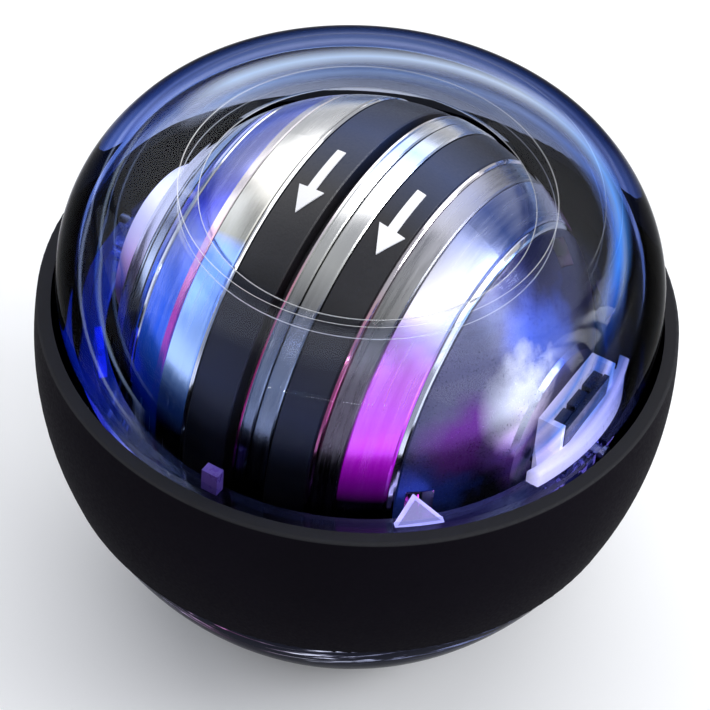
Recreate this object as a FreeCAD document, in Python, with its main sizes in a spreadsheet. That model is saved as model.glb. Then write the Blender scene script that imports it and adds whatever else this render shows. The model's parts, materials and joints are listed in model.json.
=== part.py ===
"""Gyroscopic wrist ball: a clear two-part shell with a grip band, a gimbal ring that turns in the
race round the inside of the seam, and a banded rotor on a horizontal axle with a wind-up starter.

Lengths are in millimetres. The origin is the centre of the base's flat, +Z is up and the axle
lies along X. The waist plane, where the shell is widest, is also the plane of the seam, of the
race and of the axle, and heights on the shell are counted from it.
"""
import FreeCAD, Part
import math
import os
import re
import Sketcher

BALL = {
    "ball_radius": 35.0,          # grip band at the waist
    "flank_flattening": 8.2,      # flank's upright curve is centred this far past the axis
    "floor_gap": 5.2,             # between the rotor and the floor inside
    "floor_thickness": 2.4,
    "floor_inset": 2.5,           # flat floor inside is smaller than the base
    "heel_height": 6.0,           # above the base, where the flank turns into the rounder bottom
    "heel_radius": 34.1,
    "heel_run": 6.66,             # from the heel in to the flat that the ball rests on
    "base_round": 2.2,            # width of the rounding at the flat's rim
    "base_rise": 1.1,             # its height
    "band_thickness": 1.5,
    "band_top": 5.0,              # band's upper edge above the waist
    "band_bottom": 15.6,          # band's lower edge below the waist
    "band_edge": 0.3,             # rounded edges of the band
    "band_proud": 0.3,            # band stands this far out of the lower shell
    "shell_wall": 2.4,
    "shell_fit": 0.05,            # gap between pieces that are fitted together
    "race_wall": 1.7,             # shell left between the band and the bottom of the race
    "race_half": 1.0,             # half of the race's height
    "ledge_depth": 2.6,           # race's two ledges
    "ledge_thickness": 1.2,
    "lap_wall": 0.7,              # lower shell's share of the wall where the shells overlap
    "lap_depth": 2.0,
    "dome_inset": 2.3,            # dome's widest ring lies this far inside the band
    "dome_flank": 17.0,           # radius of the dome's side curve
    "crown_curve": 6.9,           # radius of its crown curve
    "crown_inset": 9.1,           # ring along the top of the crown, inside the widest ring
    "shoulder_drop": 0.3,         # shell's shoulder below the band's top edge
    "rim_inset": 3.7,             # outer ring of the opening's lip, inside the crown's ring
    "rim_drop": 0.7,
    "lip_width": 2.2,
    "lip_drop": 1.15,
    "lip_gap": 0.66,              # between the lip and the rotor
    "lip_edge": 1.0,              # width and height of the lip's under edge
    "lip_thickness": 0.7,
}
ROTOR = {
    "rotor_gap": 1.4,             # between the rotor and the gimbal ring
    "band_root": 1.44,            # least depth of a band on the hub
    "band_gap": 0.06,             # gap between neighbouring bands
    "band_bevel": 0.15,           # bevelled edges of the bands
    "left_cap_share": 0.6115,     # band edges out from the middle plane, of the rotor's radius
    "left_trim_share": 0.5846,
    "left_chrome_share": 0.3923,
    "left_wire_share": 0.2404,
    "left_tread_share": 0.2192,
    "rib_left_share": 0.0173,
    "rib_right_share": 0.0212,
    "centre_share": 0.0904,
    "right_tread_share": 0.1712,
    "right_wire_share": 0.3365,
    "right_chrome_share": 0.3596,
    "right_polished_share": 0.4519,
    "right_trim_share": 0.6192,
    "right_cap_share": 0.6462,
    "rib_depth": 2.2,             # hub's rib lies this far under the bands
    "tread_depth": 0.15,          # treads lie this far under the chrome
    "groove_depth": 0.2,          # fine groove of a centre band
    "groove_width": 0.25,
    "hub_rim": 3.8,               # thickness of the hub's rim
    "hub_web": 2.0,               # half thickness of the hub's web
    "end_gap": 0.8,               # between the rotor's flat ends and their carriers
    "end_round": 0.55,            # rounding of the flat ends
    "cap_wall": 1.8,
    "well_depth": 3.8,            # clutch well in the left cap
    "well_wall": 1.2,
    "well_room": 0.8,             # round the pawls
    "window_span": 12.5,          # lamp windows, degrees round the rim
    "window_slack": 0.3,          # play at a window's ends, degrees
    "window_fit": 0.06,
    "window_place_share": 0.41,   # a window's middle and its width, of the cap's slope
    "window_width_share": 0.48,
    "window_count": 3,
    "window_angle": 58.0,         # first window, degrees up from +Y
    "arrow_length": 9.0,
    "arrow_head_length": 3.2,
    "arrow_head_width": 3.0,
    "arrow_shaft_width": 1.0,
    "arrow_count": 3,
    "left_arrow_angle": 78.0,     # first arrows, degrees up from -Y
    "right_arrow_angle": 78.0,
    "weight_bore_share": 0.589,   # weight's bore and reach, of the hub's bore and the cap's edge
    "weight_reach_share": 0.692,
    "board_lap": 1.4,             # lamp boards lie this far over the hub's rim
    "board_thickness": 0.9,
    "board_room": 0.6,            # round the clutch well
    "lamp_width_share": 0.077,    # lamp's width, of the rotor's radius
    "lamp_height": 0.9,
    "coil_gap": 1.6,              # between the coil former and the weight
    "coil_room": 5.4,             # from the coil to the cap's edge
    "former_flange": 1.2,
    "former_wall": 0.7,
}
AXLE = {
    "axle_radius": 1.5,
    "journal_radius": 1.0,
    "tip_play": 0.2,              # between an axle tip and the race's ledges
    "tip_bevel": 0.3,
    "running_fit": 0.05,
    "moving_gap": 0.3,
    "cut_overrun": 1.0,           # cuts run this far past what they cut
}
GIMBAL = {
    "ring_play": 1.2,             # between the ring and the bottom of the race
    "ring_lip": 1.8,              # ring's inner edge inside the race's ledges
    "lug_depth": 2.6,             # lugs that the axle runs in
    "lug_edge": 1.4,
    "notch_half": 1.2,            # half width of the notches for the axle's tips
    "bush_wall": 0.8,
    "bush_lip": 0.6,
    "bush_flange_width": 0.5,
    "screw_offset": 4.6,          # screws' distance from the axle
    "screw_radius": 0.65,
    "screw_head_radius": 1.15,
    "screw_head_height": 0.8,
    "screw_sink": 1.5,            # depth of the screw heads' seats
    "screw_grip": 1.4,
    "boss_wall": 0.65,
    "gusset_angle": 45.0,         # stiffening gussets, degrees from the axle
    "gusset_count": 4,
    "gusset_width": 5.2,
    "gusset_height": 4.2,
    "gusset_thickness": 0.8,
    "gusset_lean_share": 0.167,   # a gusset's peak off its middle, of its width
    "post_count": 2,
    "post_width": 1.9,            # small posts on the ring, square to the axle
    "post_depth": 1.2,
    "post_height": 2.8,
}
STARTER = {
    "drum_reach": 4.1,            # from the left lug's face to the cover's front
    "drum_standoff": 0.7,
    "drum_room": 0.57,            # between the drum and the ring
    "drum_wall": 0.9,
    "drum_floor": 0.8,
    "drum_boss_wall": 1.0,
    "flange_room": 0.2,           # round the bushes' flanges
    "cover_lip": 0.45,            # drum's rim outside the cover
    "cover_proud": 1.2,           # cover stands this far out of the drum's rim
    "cover_seat": 0.5,            # and this far in
    "cover_step": 0.6,            # step round the cover's front, in width and depth
    "cover_rim": 0.8,
    "cover_thickness": 0.7,
    "cover_room": 0.5,            # round the arbor
    "spring_strip": 0.16,
    "spring_pitch": 0.42,
    "spring_room": 0.4,           # round the arbor
    "spring_slack": 0.9,          # inside the drum
    "spring_gap": 0.25,
    "arbor_wall": 0.75,
    "ratchet_wall": 0.9,
    "tooth_depth": 0.7,
    "ratchet_teeth": 8,
    "pawl_stand": 2.4,            # from the teeth out to the pawls' pins
    "pawl_length": 4.0,
    "pawl_hub": 1.1,
    "pawl_tip": 0.5,
    "pawl_sink": 0.8,             # pawls lie this far inside the rotor's flat end
    "pawl_angle": 130.0,          # where a pawl points at rest, degrees up from +Y
    "pin_radius": 0.6,
    "pin_head_radius": 0.9,
    "pin_head": 0.3,
    "pawl_count": 2,
}
BRACKET = {
    "bracket_wall": 0.9,          # upright wall on the right lug's face
    "bracket_top": 7.2,           # its upper edge above the waist
    "bracket_skirt": 0.8,         # its lower edge below the flange's hole
    "bracket_floor": 0.8,
    "cheek_thickness": 0.7,       # end walls, from the upright wall out to the rod
    "cheek_reach": 2.8,
    "rod_width": 1.3,             # rod along the shell at the bracket's outer edge
    "rod_height": 1.8,
    "rod_round": 0.45,
    "rod_flare": 4.4,             # rod is longer than the wall at each end
    "magnet_length": 2.6,
    "magnet_space": 0.7,
    "magnet_height": 2.8,
    "magnet_gap": 0.1,
    "yoke_thickness": 0.6,
    "yoke_overlap": 0.2,          # yoke is longer than the row of magnets at each end
    "yoke_room": 0.3,
}
LINKS = {
    "profile_radius": "ball_radius + flank_flattening",
    "race_radius": "ball_radius - band_thickness - race_wall",
    "ledge_radius": "race_radius - ledge_depth",
    "lap_radius": "race_radius + lap_wall",
    "ring_outer": "race_radius - ring_play",
    "ring_inner": "ledge_radius - ring_lip",
    "ring_half": "race_half - moving_gap",
    "rotor_radius": "ring_inner - rotor_gap",
    "waist_height": "rotor_radius + floor_gap + floor_thickness",
    "heel_drop": "waist_height - heel_height",
    "base_radius": "sqrt((profile_radius - band_proud)^2 - heel_drop^2) - flank_flattening - heel_run",
    "dome_radius": "ball_radius - dome_inset",
    "crown_radius": "dome_radius - crown_inset",
    "rim_radius": "crown_radius - rim_inset",
    "opening_radius": "rim_radius - lip_width",
    "lip_height": "sqrt((rotor_radius + lip_gap)^2 - opening_radius^2)",
    "rim_height": "lip_height + lip_drop",
    "crown_height": "rim_height + rim_drop",
    "crown_side": "dome_flank - crown_inset",
    "crown_rise": "sqrt((dome_flank - crown_curve)^2 - crown_side^2)",
    "dome_height": "crown_height - crown_curve - crown_rise",
    "left_cap_edge": "rotor_radius * left_cap_share",
    "left_trim_edge": "rotor_radius * left_trim_share",
    "left_chrome_edge": "rotor_radius * left_chrome_share",
    "left_wire_edge": "rotor_radius * left_wire_share",
    "left_tread_edge": "rotor_radius * left_tread_share",
    "rib_left_edge": "rotor_radius * rib_left_share",
    "rib_right_edge": "rotor_radius * rib_right_share",
    "centre_edge": "rotor_radius * centre_share",
    "right_tread_start": "rotor_radius * right_tread_share",
    "right_wire_edge": "rotor_radius * right_wire_share",
    "right_chrome_edge": "rotor_radius * right_chrome_share",
    "right_polished_edge": "rotor_radius * right_polished_share",
    "right_trim_edge": "rotor_radius * right_trim_share",
    "right_cap_edge": "rotor_radius * right_cap_share",
    "seat_radius": "sqrt(rotor_radius^2 - right_cap_edge^2) - band_root",
    "hub_bore": "seat_radius - hub_rim",
    "lug_reach": "ledge_radius - moving_gap",
    "lug_face": "lug_reach - lug_depth",
    "drum_front": "lug_face - drum_reach",
    "left_end_face": "drum_front - end_gap",
    "bracket_front": "lug_face - bracket_wall",
    "right_end_face": "bracket_front - end_gap",
    "axle_bore": "axle_radius + shell_fit",
    "axle_shoulder": "lug_face - bush_flange_width - moving_gap",
    "tip_radius": "race_half - tip_play",
    "tip_end": "race_radius - moving_gap",
    "bush_radius": "journal_radius + bush_wall",
    "bush_flange": "bush_radius + bush_lip",
    "flange_hole": "bush_flange + flange_room",
    "lug_half_height": "race_half + ledge_thickness + moving_gap",
    "lug_half_length": "screw_offset + lug_edge",
    "screw_head_start": "lug_reach - screw_sink",
    "screw_hole": "screw_radius + shell_fit",
    "screw_end": "lug_face - screw_grip",
    "gusset_radius": "sqrt(lug_reach^2 - (gusset_width / 2)^2) - gusset_thickness",
    "post_radius": "lug_reach - post_depth",
    "drum_back": "lug_face - drum_standoff",
    "drum_radius": "sqrt(ring_inner^2 - drum_back^2) - drum_room",
    "cavity_radius": "drum_radius - drum_wall",
    "drum_lip": "drum_front + cover_proud",
    "cover_back": "drum_lip + cover_seat",
    "cover_radius": "drum_radius - cover_lip",
    "cover_inside": "drum_front + cover_thickness",
    "drum_boss": "flange_hole + drum_boss_wall",
    "arbor_radius": "axle_radius + running_fit + arbor_wall",
    "arbor_end": "drum_back - drum_floor - spring_gap",
    "spring_inner": "arbor_radius + spring_room",
    "spring_turns": "floor((cavity_radius - spring_slack - spring_inner) / spring_pitch)",
    "spring_width": "arbor_end - cover_inside - spring_gap",
    "ratchet_root": "arbor_radius + ratchet_wall",
    "ratchet_radius": "ratchet_root + tooth_depth",
    "pawl_pivot": "ratchet_radius + pawl_stand",
    "well_radius": "pawl_pivot + pawl_hub + well_room",
    "well_floor": "left_end_face - well_depth",
    "pawl_end": "left_end_face - pawl_sink",
    "pawl_width": "pawl_end - well_floor - moving_gap",
    "pin_end": "pawl_end + moving_gap",
    "weight_bore": "hub_bore * weight_bore_share",
    "weight_end": "left_cap_edge * weight_reach_share",
    "coil_radius": "weight_bore - coil_gap",
    "board_radius": "hub_bore + board_lap",
    "board_bore": "well_radius + well_wall + board_room",
    "lamp_size": "rotor_radius * lamp_width_share",
    "lamp_reach": "(board_radius + board_bore) / 2",
    "window_reach": "right_cap_edge + (left_end_face - right_cap_edge) * window_place_share",
    "window_width": "(left_end_face - right_cap_edge) * window_width_share",
    "coil_start": "hub_web + former_flange",
    "coil_end": "right_cap_edge - coil_room",
    "magnet_pitch": "magnet_length + magnet_space",
    "yoke_half_length": "magnet_pitch + magnet_length / 2 + yoke_overlap",
    "rod_reach": "dome_radius - shell_wall - moving_gap",
    "cheek_inside": "yoke_half_length + yoke_room",
    "wall_half_length": "cheek_inside + cheek_thickness",
    "rod_half_length": "wall_half_length + rod_flare",
    "yoke_back": "sqrt((rod_reach - rod_width)^2 - yoke_half_length^2) - magnet_gap",
    "magnet_start": "lug_face + magnet_gap",
    "magnet_end": "yoke_back - yoke_thickness - magnet_gap",
    "magnet_floor": "lug_half_height + bracket_floor",
    "bracket_depth": "flange_hole + bracket_skirt",
}
SIZES = {**BALL, **ROTOR, **AXLE, **GIMBAL, **STARTER, **BRACKET}
for linked, formula in LINKS.items():
    SIZES[linked] = f"={formula}"

doc = FreeCAD.newDocument("WristBall")
sheet = doc.addObject("Spreadsheet::Sheet", "Sizes")
for row, (alias, value) in enumerate(SIZES.items(), 1):
    sheet.set(f"A{row}", alias)
    sheet.set(f"B{row}", str(value))
    sheet.setAlias(f"B{row}", alias)
doc.recompute()
parts = []


def bound(text):
    """The expression with each size's name bound to its cell."""
    return re.sub(r"[a-z][a-z_]*[a-z]", lambda m: f"Sizes.{m[0]}" if m[0] in SIZES else m[0], str(text))


def size(text):
    """The number that an expression in the sheet's sizes has now."""
    return float(sheet.evalExpression(bound(text)))


def girth(inset, height):
    """Radius of the ball's flank, moved in by an inset, at a height from the waist."""
    return f"(sqrt((profile_radius - ({inset}))^2 - ({height})^2) - flank_flattening)"


def on_sphere(radius, reach):
    """Radius of a sphere's circle at a distance along the axle."""
    return f"sqrt(({radius})^2 - ({reach})^2)"


def part(label, kind="PartDesign::Body"):
    """A sub-part whose own origin is the middle of the waist plane."""
    made = doc.addObject(kind, label)
    made.Label = label
    if kind == "PartDesign::Body":
        made.AllowCompound = True
    made.setExpression("Placement.Base.z", bound("waist_height"))
    parts.append(made)
    return made


def new_sketch(body, plane, offset):
    sketch = body.newObject("Sketcher::SketchObject", f"{body.Name}_sketch")
    origin_plane = [o for o in body.Origin.OriginFeatures if o.Role == plane][0]
    sketch.AttachmentSupport = (origin_plane, [""])
    sketch.MapMode = "FlatFace"
    sketch.setExpression("AttachmentOffset.Base.z", bound(offset))
    return sketch


def place(sketch, index, end, x, y):
    """Pin one end of an edge to the place that two expressions give."""
    for kind, text, axis in (("DistanceX", x, -2), ("DistanceY", y, -1)):
        if text == "0":
            sketch.addConstraint(Sketcher.Constraint("PointOnObject", index, end, axis))
        else:
            number = sketch.addConstraint(Sketcher.Constraint(kind, -1, 1, index, end, size(text)))
            sketch.setExpression(f"Constraints[{number}]", bound(text))


def draw(sketch, corners, arcs):
    """A closed outline. Edge i runs from corner i to the next, as a line or as the arc of
    arcs[i] = (radius, turn), where the turn is 1 for anticlockwise and -1 for clockwise."""
    spots = [FreeCAD.Vector(size(x), size(y), 0) for x, y in corners]
    first = len(sketch.Geometry)
    ends = []
    for i, start in enumerate(spots):
        stop = spots[(i + 1) % len(spots)]
        if i not in arcs:
            sketch.addGeometry(Part.LineSegment(start, stop), False)
            ends.append((1, 2))
            continue
        radius, turn = size(arcs[i][0]), arcs[i][1]
        chord = stop - start
        side = FreeCAD.Vector(-chord.y, chord.x, 0).normalize() * turn
        rise = math.sqrt(max(radius ** 2 - (chord.Length / 2) ** 2, 0))
        centre = (start + stop) * 0.5 + side * rise
        low, high = (start, stop) if turn > 0 else (stop, start)
        angles = [math.atan2(p.y - centre.y, p.x - centre.x) for p in (low, high)]
        circle = Part.Circle(centre, FreeCAD.Vector(0, 0, 1), radius)
        sketch.addGeometry(Part.ArcOfCircle(circle, *angles), False)
        ends.append((1, 2) if turn > 0 else (2, 1))
    for i, (x, y) in enumerate(corners):
        after = (i + 1) % len(corners)
        sketch.addConstraint(Sketcher.Constraint("Coincident", first + i, ends[i][1], first + after, ends[after][0]))
        place(sketch, first + i, ends[i][0], x, y)
        if i in arcs:
            number = sketch.addConstraint(Sketcher.Constraint("Radius", first + i, size(arcs[i][0])))
            sketch.setExpression(f"Constraints[{number}]", bound(arcs[i][0]))


def draw_circle(sketch, x, y, radius):
    spot = FreeCAD.Vector(size(x), size(y), 0)
    index = sketch.addGeometry(Part.Circle(spot, FreeCAD.Vector(0, 0, 1), size(radius)), False)
    place(sketch, index, 3, x, y)
    number = sketch.addConstraint(Sketcher.Constraint("Radius", index, size(radius)))
    sketch.setExpression(f"Constraints[{number}]", bound(radius))


def revolve(body, corners, arcs, about):
    """Turn an outline on the XZ plane a full circle about H_Axis (X) or V_Axis (Z)."""
    sketch = new_sketch(body, "XZ_Plane", "0")
    draw(sketch, corners, arcs)
    turned = body.newObject("PartDesign::Revolution", f"{body.Name}_turned")
    turned.Profile = sketch
    turned.ReferenceAxis = (sketch, [about])
    turned.Angle = 360
    doc.recompute()
    return turned


def raise_pad(body, plane, offset, length, outlines=(), circles=()):
    sketch = new_sketch(body, plane, offset)
    for corners, arcs in outlines:
        draw(sketch, corners, arcs)
    for circle in circles:
        draw_circle(sketch, *circle)
    pad = body.newObject("PartDesign::Pad", f"{body.Name}_pad")
    pad.Profile = sketch
    pad.setExpression("Length", bound(length))
    doc.recompute()
    return pad


def cut_pocket(body, plane, offset, length, outlines=(), circles=()):
    """Cut from the sketch's plane along its normal, and compare the volumes."""
    before = body.Shape.Volume
    sketch = new_sketch(body, plane, offset)
    for corners, arcs in outlines:
        draw(sketch, corners, arcs)
    for circle in circles:
        draw_circle(sketch, *circle)
    pocket = body.newObject("PartDesign::Pocket", f"{body.Name}_pocket")
    pocket.Profile = sketch
    pocket.setExpression("Length", bound(length))
    pocket.Reversed = True
    doc.recompute()
    if not body.Shape.Volume < before:
        raise RuntimeError(f"a pocket in {body.Label} cuts nothing")
    return pocket


def box_outline(x_low, x_high, y_low, y_high):
    return [(x_low, y_low), (x_high, y_low), (x_high, y_high), (x_low, y_high)], {}


def turn_about(made, axis, angle):
    """Turn a sub-part about an axis through its own origin, by an expression in degrees."""
    made.Placement.Rotation = FreeCAD.Rotation(axis, size(angle))
    made.setExpression("Placement.Rotation.Angle", bound(f"({angle}) * 1 deg"))


X_AXIS = FreeCAD.Vector(1, 0, 0)
Z_AXIS = FreeCAD.Vector(0, 0, 1)
SEAT_INSET = "(band_thickness + shell_fit)"
WALL_INSET = "(band_thickness + shell_wall)"
LEDGE_TOP = "(race_half + ledge_thickness)"
SHOULDER = "(band_top - shoulder_drop)"


def lower_shell():
    body = part("lower_shell")
    under_band = "(band_bottom + shell_fit)"
    corners = [
        ("race_radius", "0"),
        ("lap_radius", "0"),
        ("lap_radius", "-lap_depth"),
        (girth(SEAT_INSET, "lap_depth"), "-lap_depth"),
        (girth(SEAT_INSET, under_band), f"-{under_band}"),
        (girth("band_proud", under_band), f"-{under_band}"),
        (girth("band_proud", "heel_drop"), "-heel_drop"),
        ("base_radius + base_round", "base_rise - waist_height"),
        ("base_radius", "-waist_height"),
        ("0", "-waist_height"),
        ("0", "floor_thickness - waist_height"),
        ("base_radius - floor_inset", "floor_thickness - waist_height"),
        (girth(WALL_INSET, "heel_drop"), "-heel_drop"),
        (girth(WALL_INSET, LEDGE_TOP), f"-{LEDGE_TOP}"),
        ("ledge_radius", f"-{LEDGE_TOP}"),
        ("ledge_radius", "-race_half"),
        ("race_radius", "-race_half"),
    ]
    arcs = {
        3: (f"profile_radius - {SEAT_INSET}", -1),
        5: ("profile_radius - band_proud", -1),
        6: ("heel_radius", -1),
        7: ("(base_round^2 + base_rise^2) / (2 * base_rise)", -1),
        11: (f"heel_radius - {WALL_INSET}", 1),
        12: (f"profile_radius - {WALL_INSET}", 1),
    }
    revolve(body, corners, arcs, "V_Axis")


def upper_shell():
    """The dome: its side curve and its crown curve meet on the line through their centres."""
    body = part("upper_shell")
    crown_z = "(crown_height - crown_curve)"
    run = "(crown_side / (dome_flank - crown_curve))"
    climb = "(crown_rise / (dome_flank - crown_curve))"
    inside = "(crown_curve - shell_wall)"
    skirt = "(lap_radius + shell_fit)"
    corners = [
        ("race_radius", "0"),
        ("race_radius", "race_half"),
        ("ledge_radius", "race_half"),
        ("ledge_radius", LEDGE_TOP),
        ("dome_radius - shell_wall", LEDGE_TOP),
        ("dome_radius - shell_wall", "dome_height"),
        (f"crown_radius + {inside} * {run}", f"{crown_z} + {inside} * {climb}"),
        ("crown_radius", "crown_height - shell_wall"),
        ("opening_radius + lip_edge", "lip_height - lip_thickness"),
        ("opening_radius", "lip_height"),
        ("rim_radius", "rim_height"),
        ("crown_radius", "crown_height"),
        (f"crown_radius + crown_curve * {run}", f"{crown_z} + crown_curve * {climb}"),
        ("dome_radius", "dome_height"),
        (f"dome_radius - dome_flank + sqrt(dome_flank^2 - (dome_height - {SHOULDER})^2)", SHOULDER),
        (girth(SEAT_INSET, SHOULDER), SHOULDER),
        (girth(SEAT_INSET, "lap_depth"), "-lap_depth"),
        (skirt, "-lap_depth"),
        (skirt, "0"),
    ]
    arcs = {
        5: ("dome_flank - shell_wall", 1),
        6: ("crown_curve - shell_wall", 1),
        10: ("(rim_inset^2 + rim_drop^2) / (2 * rim_drop)", -1),
        11: ("crown_curve", -1),
        12: ("dome_flank", -1),
        13: ("dome_flank", -1),
        15: (f"profile_radius - {SEAT_INSET}", -1),
    }
    revolve(body, corners, arcs, "V_Axis")


def grip_band():
    body = part("grip_band")
    low, high = "(band_bottom - band_edge)", "(band_top - band_edge)"
    corners = [
        (girth("band_thickness", "band_bottom"), "-band_bottom"),
        (f"{girth('0', 'band_bottom')} - band_edge", "-band_bottom"),
        (girth("0", low), f"-{low}"),
        (girth("0", high), high),
        (f"{girth('0', 'band_top')} - band_edge", "band_top"),
        (girth("band_thickness", "band_top"), "band_top"),
    ]
    arcs = {
        1: ("band_edge", 1),
        2: ("profile_radius", 1),
        3: ("band_edge", 1),
        5: ("profile_radius - band_thickness", -1),
    }
    revolve(body, corners, arcs, "V_Axis")


def band_ring(label, left, right, radius="rotor_radius", grooves=()):
    """One band of the rotor, between two places on the axle, with bevelled edges. Its face is
    part of the rotor's ball, and each groove is a fine step round it."""
    body = part(label)
    seat = "seat_radius + shell_fit"
    corners = [
        (left, seat),
        (right, seat),
        (right, f"{on_sphere(radius, right)} - band_bevel"),
        (f"{right} - band_bevel", on_sphere(radius, f"{right} - band_bevel")),
    ]
    arcs = {3: (radius, 1)}
    for middle in grooves:
        near, far = f"{middle} + groove_width / 2", f"{middle} - groove_width / 2"
        corners.append((near, on_sphere(radius, near)))
        corners.append((near, f"{on_sphere(radius, near)} - groove_depth"))
        corners.append((far, f"{on_sphere(radius, far)} - groove_depth"))
        corners.append((far, on_sphere(radius, far)))
        arcs[len(corners) - 1] = (radius, 1)
    corners.append((f"{left} + band_bevel", on_sphere(radius, f"{left} + band_bevel")))
    corners.append((left, f"{on_sphere(radius, left)} - band_bevel"))
    revolve(body, corners, arcs, "H_Axis")


def rotor_bands():
    tread = "(rotor_radius - tread_depth)"
    band_ring("left_polished_band", "-left_trim_edge", "-(left_chrome_edge + band_gap)")
    band_ring("left_chrome_band", "-left_chrome_edge", "-(left_wire_edge + band_gap)")
    band_ring("left_wire_ring", "-left_wire_edge", "-(left_tread_edge + band_gap)")
    band_ring("left_tread", "-left_tread_edge", "-(rib_left_edge + band_gap)", tread)
    ridge = "(rib_right_edge + (centre_edge - rib_right_edge) / 3)"
    band_ring("centre_left_band", "rib_right_edge + band_gap", "centre_edge - band_gap", grooves=[ridge])
    band_ring("centre_right_band", "centre_edge + band_gap", "right_tread_start - band_gap")
    band_ring("right_tread", "right_tread_start", "right_wire_edge - band_gap", tread)
    band_ring("right_wire_ring", "right_wire_edge", "right_chrome_edge - band_gap")
    band_ring("right_chrome_band", "right_chrome_edge", "right_polished_edge - band_gap")
    band_ring("right_polished_band", "right_polished_edge", "right_trim_edge - band_gap")
    band_ring("left_trim_ring", "-left_cap_edge", "-(left_trim_edge + band_gap)")
    band_ring("right_trim_ring", "right_trim_edge", "right_cap_edge - band_gap")


def rotor_hub():
    body = part("rotor_hub")
    rib = "rotor_radius - rib_depth"
    corners = [
        ("-hub_web", "axle_bore"),
        ("hub_web", "axle_bore"),
        ("hub_web", "hub_bore"),
        ("right_cap_edge", "hub_bore"),
        ("right_cap_edge", "seat_radius"),
        ("rib_right_edge", "seat_radius"),
        ("rib_right_edge", rib),
        ("-rib_left_edge", rib),
        ("-rib_left_edge", "seat_radius"),
        ("-left_cap_edge", "seat_radius"),
        ("-left_cap_edge", "hub_bore"),
        ("-hub_web", "hub_bore"),
    ]
    revolve(body, corners, {}, "H_Axis")


def end_cap(label, start, end, sign, hub_end):
    """A satin end of the rotor's ball with its lamp windows. hub_end lists the places of the
    outline from the flat end's inner edge to the cap's inside."""
    body = part(label)
    inner = "rotor_radius - cap_wall"
    rounded = f"({end} - end_round)"
    places = [
        (start, on_sphere(inner, start)),
        (start, f"{on_sphere('rotor_radius', start)} - band_bevel"),
        (f"{start} + band_bevel", on_sphere("rotor_radius", f"{start} + band_bevel")),
        (rounded, on_sphere("rotor_radius", rounded)),
        (end, f"{on_sphere('rotor_radius', rounded)} - end_round"),
        *hub_end,
        (f"{end} - cap_wall", on_sphere(inner, f"{end} - cap_wall")),
    ]
    last = len(places) - 1
    corners = [(f"{sign}({x})", y) for x, y in places]
    turn = -1 if sign == "-" else 1
    revolve(body, corners, {2: ("rotor_radius", -turn), last: (inner, turn)}, "H_Axis")
    window = window_outline(sign, "0")
    sketch = new_sketch(body, "XZ_Plane", "0")
    draw(sketch, *window)
    groove = body.newObject("PartDesign::Groove", f"{body.Name}_window")
    groove.Profile = sketch
    groove.ReferenceAxis = (sketch, ["H_Axis"])
    groove.Midplane = True
    groove.setExpression("Angle", bound("window_span * 1 deg"))
    doc.recompute()
    repeat_about(body, groove, "X_Axis", "window_count")
    turn_about(body, X_AXIS, "window_angle - 90")


def window_outline(sign, fit):
    """Section of a lamp window between two places on the axle, through the cap's sloping wall."""
    low, high = f"(window_reach - window_width / 2 + {fit})", f"(window_reach + window_width / 2 - {fit})"
    inner, outer = "(rotor_radius - cap_wall)", "(rotor_radius + cut_overrun)"
    if fit != "0":
        outer = "rotor_radius"
    places = [
        (low, on_sphere(inner, low)),
        (low, on_sphere(outer, low)),
        (high, on_sphere(outer, high)),
        (high, on_sphere(inner, high)),
    ]
    turn = -1 if sign == "-" else 1
    return [(f"{sign}{x}", y) for x, y in places], {1: (outer, -turn), 3: (inner, turn)}


def lamp_windows(label, sign):
    body = part(label)
    sketch = new_sketch(body, "XZ_Plane", "0")
    draw(sketch, *window_outline(sign, "window_fit"))
    lens = body.newObject("PartDesign::Revolution", f"{body.Name}_lens")
    lens.Profile = sketch
    lens.ReferenceAxis = (sketch, ["H_Axis"])
    lens.Midplane = True
    lens.setExpression("Angle", bound("(window_span - 2 * window_slack) * 1 deg"))
    doc.recompute()
    repeat_about(body, lens, "X_Axis", "window_count")
    turn_about(body, X_AXIS, "window_angle - 90")


def repeat_about(body, feature, role, count):
    """Copies of a feature spread evenly about one of the body's own axes."""
    pattern = body.newObject("PartDesign::PolarPattern", f"{body.Name}_pattern")
    pattern.Originals = [feature]
    pattern.Axis = ([o for o in body.Origin.OriginFeatures if o.Role == role][0], [""])
    pattern.Angle = 360
    pattern.setExpression("Occurrences", bound(count))
    body.Tip = pattern
    doc.recompute()


def ring_of(label, low, high, inner, outer):
    """A plain ring about the axle, between two places along it."""
    body = part(label)
    revolve(body, [(low, inner), (high, inner), (high, outer), (low, outer)], {}, "H_Axis")


def lamps(label, board_face, sign):
    """Square lamps on a board, one behind each window."""
    body = part(label)
    low = f"{sign}({board_face})" if sign == "" else f"-({board_face} + lamp_height)"
    half = "lamp_size / 2"
    square = box_outline(f"-{half}", half, f"lamp_reach - {half}", f"lamp_reach + {half}")
    pad = raise_pad(body, "YZ_Plane", low, "lamp_height", [square])
    repeat_about(body, pad, "X_Axis", "window_count")
    turn_about(body, X_AXIS, "window_angle - 90")


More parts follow.
